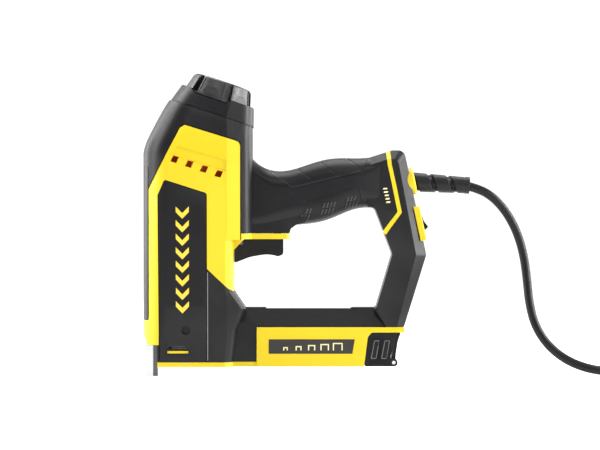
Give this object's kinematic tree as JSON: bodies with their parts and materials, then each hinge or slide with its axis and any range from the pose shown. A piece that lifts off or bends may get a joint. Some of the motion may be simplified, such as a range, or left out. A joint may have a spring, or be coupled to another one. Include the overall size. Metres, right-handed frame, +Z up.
{
  "type": "electric staple gun",
  "caption": "Corded electric staple gun with a D-shaped handle, a power dial on a sloped cap, a rear rocker switch, a pull-out staple magazine and a wound mains cord.",
  "frame": {"origin": "bottom centre of the tool without its cord, at the working face of the steel nose", "axes": "+X from the nose towards the mains cord, +Z up away from the work, +Y to the tool's right side"},
  "size_m": [0.4896, 0.0956, 0.2353],
  "materials": {
    "black_casing": "fine textured matt",
    "yellow_panel": "satin",
    "dark_inset": "satin",
    "soft_grip": "soft matt",
    "dial_plastic": "fine textured matt",
    "label_plate": "satin",
    "tool_steel": "ground",
    "spring_steel": "drawn wire",
    "yoke_iron": "zinc grey",
    "winding_lacquer": "lacquered winding",
    "nylon_natural": "satin",
    "nylon_black": "satin",
    "rubber_black": "matt",
    "board_green": "varnished board",
    "aluminium_sink": "extruded",
    "component_plastic": "moulded",
    "wire_insulation": "satin",
    "staple_zinc": "galvanised",
    "pin_brass": "bright",
    "cord_rubber": "satin",
    "dark_steel": "blackened"
  },
  "bodies": {
    "housing": {"housing_left": "black_casing", "housing_right": "black_casing", "side_panel_left": "yellow_panel", "side_panel_right": "yellow_panel", "inset_panel_left": "dark_inset", "inset_panel_right": "dark_inset", "front_cover": "dark_inset", "grip_left": "soft_grip", "grip_right": "soft_grip", "accent_left": "yellow_panel", "accent_right": "yellow_panel", "top_cap": "black_casing", "dial_potentiometer": "component_plastic", "solenoid_yoke": "yoke_iron", "solenoid_bobbin": "nylon_natural", "solenoid_winding": "winding_lacquer", "bumper": "rubber_black", "guide_plate": "nylon_black", "return_spring": "spring_steel", "nose_plate": "tool_steel", "driver_guide": "dark_steel", "magazine_housing": "yellow_panel", "label_left": "label_plate", "label_right": "label_plate", "trigger_pin": "tool_steel", "trigger_spring": "spring_steel", "microswitch": "component_plastic", "rocker_bezel": "yellow_panel", "rocker_body": "nylon_black", "gland_ring": "yellow_panel", "strain_relief": "rubber_black", "cord_clamp": "nylon_natural", "control_board": "board_green", "heat_sink": "aluminium_sink", "board_components": "component_plastic", "wiring": "wire_insulation", "housing_screws": "tool_steel", "power_cord": "cord_rubber", "cord_tail": "cord_rubber", "coil_tie": "nylon_black", "cord_coil": "cord_rubber", "plug_body": "rubber_black", "plug_pins": "pin_brass"},
    "trigger": {"trigger": "nylon_black"},
    "switch_button": {"switch_button": "nylon_natural"},
    "dial": {"power_dial": "dial_plastic", "dial_shaft": "tool_steel"},
    "rocker": {"rocker": "nylon_black"},
    "drawer": {"magazine_rail": "tool_steel", "pusher_rod": "spring_steel", "magazine_end_cap": "nylon_black", "latch_pin": "tool_steel", "pusher_spring": "spring_steel", "staple_strip": "staple_zinc"},
    "pusher": {"pusher": "dark_steel"},
    "latch": {"latch_lever": "nylon_black"},
    "plunger": {"plunger": "tool_steel", "driver_blade": "tool_steel"}
  },
  "joints": [
    {"name": "trigger_pull", "type": "hinge", "parent": "housing", "child": "trigger", "pos_m": [-0.034, 0, 0.1035], "axis": [0, -1, 0], "range_deg": [0, 5], "stiffness_Nm_per_rad": 1.2, "springref_deg": -6.88, "deforming": ["trigger_spring"]},
    {"name": "switch_press", "type": "slide", "parent": "housing", "child": "switch_button", "axis": [0, 0, 1], "range_m": [0, 0.0024]},
    {"name": "power_dial_turn", "type": "hinge", "parent": "housing", "child": "dial", "pos_m": [-0.0569, 0, 0.2033], "axis": [0.3173, 0, 0.9483], "range_deg": [0, 270]},
    {"name": "rocker_switch", "type": "hinge", "parent": "housing", "child": "rocker", "pos_m": [0.10264, 0, 0.11808], "axis": [0, 1, 0], "range_deg": [0, 14]},
    {"name": "magazine_slide", "type": "slide", "parent": "housing", "child": "drawer", "axis": [1, 0, 0], "range_m": [0, 0.095]},
    {"name": "pusher_slide", "type": "slide", "parent": "drawer", "child": "pusher", "axis": [1, 0, 0], "range_m": [0, 0.06], "stiffness_N_per_m": 60, "springref_m": -0.05, "deforming": ["pusher_spring"]},
    {"name": "latch_open", "type": "hinge", "parent": "drawer", "child": "latch", "pos_m": [0.0841, 0, 0.0109], "axis": [0, 1, 0], "range_deg": [0, 25], "stiffness_Nm_per_rad": 0.3, "springref_deg": -17.19},
    {"name": "driver_stroke", "type": "slide", "parent": "housing", "child": "plunger", "axis": [0, 0, -1], "range_m": [0, 0.02], "stiffness_N_per_m": 500, "springref_m": -0.01, "deforming": ["return_spring"]}
  ],
  "couplings": [
    {"joint": "switch_press", "follows": "trigger_pull", "m_per_rad": 0.0275}
  ]
}
